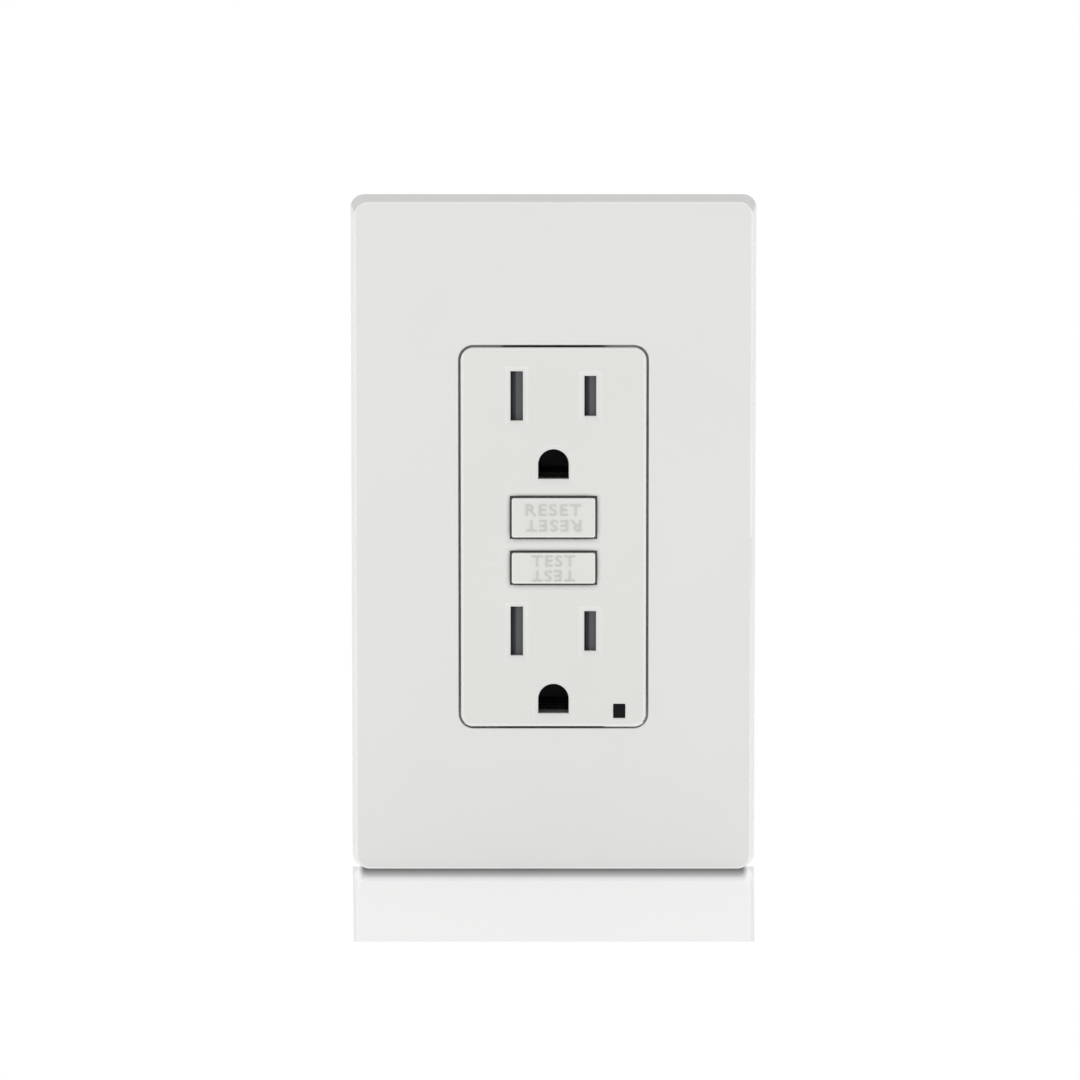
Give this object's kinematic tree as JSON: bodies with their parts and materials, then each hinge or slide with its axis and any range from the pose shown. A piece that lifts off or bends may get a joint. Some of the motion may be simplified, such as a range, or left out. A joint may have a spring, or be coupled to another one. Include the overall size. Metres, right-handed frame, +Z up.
{
  "type": "gfci outlet",
  "caption": "Duplex ground-fault outlet with reset and test buttons, shuttered slots, steel strap, side terminals and a push-fit wall plate without screws.",
  "frame": {"origin": "centre of the device on the wall plane, midway between the two box screws, at the back of the strap's ears", "axes": "+X right, +Y back into the wall box along the box screws, +Z up the long side of the plate; the face looks along -Y"},
  "size_m": [0.0702, 0.0348, 0.1178],
  "materials": {
    "plate_plastic": "smooth satin-gloss moulded white thermoplastic",
    "carrier_plastic": "moulded white thermoplastic",
    "face_plastic": "smooth moulded off-white nylon",
    "button_plastic": "smooth moulded off-white nylon, raised lettering",
    "lens_clear": "clear acrylic light pipe, unlit",
    "shutter_plastic": "dark grey acetal",
    "housing_plastic": "fine-grained dark grey polycarbonate",
    "deck_plastic": "black thermoset",
    "lifter_plastic": "grey acetal",
    "strap_steel": "zinc-plated sheet steel",
    "screw_steel": "zinc-plated steel screws",
    "plate_screw_steel": "zinc-plated steel screws",
    "retainer_fibre": "red-brown vulcanised fibre",
    "ground_green": "green dyed zinc plating",
    "clamp_steel": "zinc-plated steel pressure plates",
    "hot_screw_brass": "brass-coloured terminal screws of the hot side",
    "neutral_screw_steel": "nickel-plated terminal screws of the neutral side",
    "contact_brass": "rolled brass strip",
    "ground_bronze": "dark tin-bronze spring strip, toned",
    "contact_silver": "silver-alloy contact rivets",
    "spring_steel": "bright spring wire",
    "pin_steel": "turned and stamped steel",
    "bobbin_nylon": "natural nylon",
    "coil_copper": "enamelled copper wire",
    "ferrite": "dark sintered ferrite",
    "board_green": "green solder mask on glass laminate",
    "varistor_blue": "blue epoxy coat",
    "capacitor_black": "black shrink sleeve",
    "resistor_tan": "tan lacquer",
    "chip_black": "black epoxy"
  },
  "bodies": {
    "outlet": {"subplate": "carrier_plastic", "subplate_screws": "plate_screw_steel", "mounting_screws": "screw_steel", "screw_retainers": "retainer_fibre", "mounting_strap": "strap_steel", "ground_contacts": "ground_bronze", "ground_contact_rivets": "contact_brass", "front_cover": "face_plastic", "rear_housing": "housing_plastic", "middle_housing": "deck_plastic", "assembly_screws": "screw_steel", "indicator_lens": "lens_clear", "solenoid_bobbin": "bobbin_nylon", "solenoid_coil": "coil_copper", "solenoid_frame": "pin_steel", "circuit_board": "board_green", "transformer_housing": "deck_plastic", "transformer_cores": "ferrite", "transformer_windings": "coil_copper", "line_conductors": "contact_brass", "varistor": "varistor_blue", "capacitors": "capacitor_black", "resistors": "resistor_tan", "semiconductors": "chip_black", "hot_face_contact": "contact_brass", "neutral_face_contact": "contact_brass", "line_hot_terminal": "contact_brass", "line_neutral_terminal": "contact_brass", "load_hot_terminal": "contact_brass", "load_neutral_terminal": "contact_brass", "fixed_contact_points": "contact_silver", "reset_spring": "spring_steel", "test_spring": "spring_steel", "plunger_spring": "spring_steel", "upper_shutter_spring": "spring_steel", "lower_shutter_spring": "spring_steel"},
    "cover_plate": {"wallplate": "plate_plastic"},
    "reset_plunger": {"reset_button": "button_plastic", "reset_pin": "pin_steel"},
    "test_plunger": {"test_button": "button_plastic"},
    "lifter_block": {"lifter": "lifter_plastic", "latch_spring": "spring_steel"},
    "latch": {"latch_plate": "pin_steel"},
    "hot_arm": {"hot_contact_arm": "contact_brass", "hot_moving_point": "contact_silver"},
    "neutral_arm": {"neutral_contact_arm": "contact_brass", "neutral_moving_point": "contact_silver"},
    "trip_plunger": {"solenoid_plunger": "pin_steel"},
    "upper_gate": {"upper_shutter": "shutter_plastic"},
    "lower_gate": {"lower_shutter": "shutter_plastic"},
    "line_hot_clamp_body": {"line_hot_clamp": "clamp_steel"},
    "line_hot_screw_body": {"line_hot_screw": "hot_screw_brass"},
    "line_neutral_clamp_body": {"line_neutral_clamp": "clamp_steel"},
    "line_neutral_screw_body": {"line_neutral_screw": "neutral_screw_steel"},
    "load_hot_clamp_body": {"load_hot_clamp": "clamp_steel"},
    "load_hot_screw_body": {"load_hot_screw": "hot_screw_brass"},
    "load_neutral_clamp_body": {"load_neutral_clamp": "clamp_steel"},
    "load_neutral_screw_body": {"load_neutral_screw": "neutral_screw_steel"},
    "ground_clamp_body": {"ground_clamp": "clamp_steel"},
    "ground_screw_body": {"ground_screw": "ground_green"}
  },
  "joints": [
    {"name": "wallplate_snap", "type": "slide", "parent": "outlet", "child": "cover_plate", "axis": [0, -1, 0], "range_m": [0, 0.014]},
    {"name": "reset_press", "type": "slide", "parent": "outlet", "child": "reset_plunger", "axis": [0, 1, 0], "range_m": [0, 0.0025], "stiffness_N_per_m": 500, "springref_m": -0.003, "deforming": ["reset_spring"]},
    {"name": "test_press", "type": "slide", "parent": "outlet", "child": "test_plunger", "axis": [0, 1, 0], "range_m": [0, 0.0014], "stiffness_N_per_m": 600, "springref_m": -0.002, "deforming": ["test_spring"]},
    {"name": "lifter_slide", "type": "slide", "parent": "outlet", "child": "lifter_block", "axis": [0, -1, 0], "range_m": [0, 0.0014], "stiffness_N_per_m": 300, "springref_m": -0.001},
    {"name": "hot_arm_hinge", "type": "hinge", "parent": "outlet", "child": "hot_arm", "pos_m": [0.0107, 0.0159, -0.00605], "axis": [1, 0, 0], "range_deg": [0, 8.7]},
    {"name": "neutral_arm_hinge", "type": "hinge", "parent": "outlet", "child": "neutral_arm", "pos_m": [-0.0107, 0.0159, -0.00605], "axis": [1, 0, 0], "range_deg": [0, 8.7]},
    {"name": "plunger_throw", "type": "slide", "parent": "outlet", "child": "trip_plunger", "axis": [0, 0, -1], "range_m": [0, 0.0012], "stiffness_N_per_m": 150, "springref_m": -0.0015, "deforming": ["plunger_spring"]},
    {"name": "latch_slide", "type": "slide", "parent": "lifter_block", "child": "latch", "axis": [0, 0, -1], "range_m": [0, 0.0012], "deforming": ["latch_spring"]},
    {"name": "upper_shutter_slide", "type": "slide", "parent": "outlet", "child": "upper_gate", "axis": [1, 0, 0], "range_m": [0, 0.0026], "stiffness_N_per_m": 120, "springref_m": -0.0015, "deforming": ["upper_shutter_spring"]},
    {"name": "lower_shutter_slide", "type": "slide", "parent": "outlet", "child": "lower_gate", "axis": [1, 0, 0], "range_m": [0, 0.0026], "stiffness_N_per_m": 120, "springref_m": -0.0015, "deforming": ["lower_shutter_spring"]},
    {"name": "line_hot_clamp_slide", "type": "slide", "parent": "outlet", "child": "line_hot_clamp_body", "axis": [-1, 0, 0], "range_m": [0, 0.00198]},
    {"name": "line_hot_screw_turn", "type": "hinge", "parent": "line_hot_clamp_body", "child": "line_hot_screw_body", "pos_m": [0.018, 0.0165, -0.015], "axis": [-1, 0, 0], "range_deg": [0, 930]},
    {"name": "line_neutral_clamp_slide", "type": "slide", "parent": "outlet", "child": "line_neutral_clamp_body", "axis": [1, 0, 0], "range_m": [0, 0.00198]},
    {"name": "line_neutral_screw_turn", "type": "hinge", "parent": "line_neutral_clamp_body", "child": "line_neutral_screw_body", "pos_m": [-0.018, 0.0165, -0.015], "axis": [1, 0, 0], "range_deg": [0, 930]},
    {"name": "load_hot_clamp_slide", "type": "slide", "parent": "outlet", "child": "load_hot_clamp_body", "axis": [-1, 0, 0], "range_m": [0, 0.00198]},
    {"name": "load_hot_screw_turn", "type": "hinge", "parent": "load_hot_clamp_body", "child": "load_hot_screw_body", "pos_m": [0.018, 0.0165, 0.015], "axis": [-1, 0, 0], "range_deg": [0, 930]},
    {"name": "load_neutral_clamp_slide", "type": "slide", "parent": "outlet", "child": "load_neutral_clamp_body", "axis": [1, 0, 0], "range_m": [0, 0.00198]},
    {"name": "load_neutral_screw_turn", "type": "hinge", "parent": "load_neutral_clamp_body", "child": "load_neutral_screw_body", "pos_m": [-0.018, 0.0165, 0.015], "axis": [1, 0, 0], "range_deg": [0, 930]},
    {"name": "ground_clamp_slide", "type": "slide", "parent": "outlet", "child": "ground_clamp_body", "axis": [0, 0, 1], "range_m": [-0.00158, 0]},
    {"name": "ground_screw_turn", "type": "hinge", "parent": "ground_clamp_body", "child": "ground_screw_body", "pos_m": [-0.0155, 0.013, -0.036], "axis": [0, 0, 1], "range_deg": [-750, 0]}
  ],
  "couplings": [
    {"joint": "hot_arm_hinge", "follows": "lifter_slide", "rad_per_m": 107.53},
    {"joint": "neutral_arm_hinge", "follows": "lifter_slide", "rad_per_m": 107.53},
    {"joint": "latch_slide", "follows": "plunger_throw", "ratio": 1},
    {"joint": "line_hot_screw_turn", "follows": "line_hot_clamp_slide", "rad_per_m": 7915.8},
    {"joint": "line_neutral_screw_turn", "follows": "line_neutral_clamp_slide", "rad_per_m": 7915.8},
    {"joint": "load_hot_screw_turn", "follows": "load_hot_clamp_slide", "rad_per_m": 7915.8},
    {"joint": "load_neutral_screw_turn", "follows": "load_neutral_clamp_slide", "rad_per_m": 7915.8},
    {"joint": "ground_screw_turn", "follows": "ground_clamp_slide", "rad_per_m": 7915.8}
  ]
}
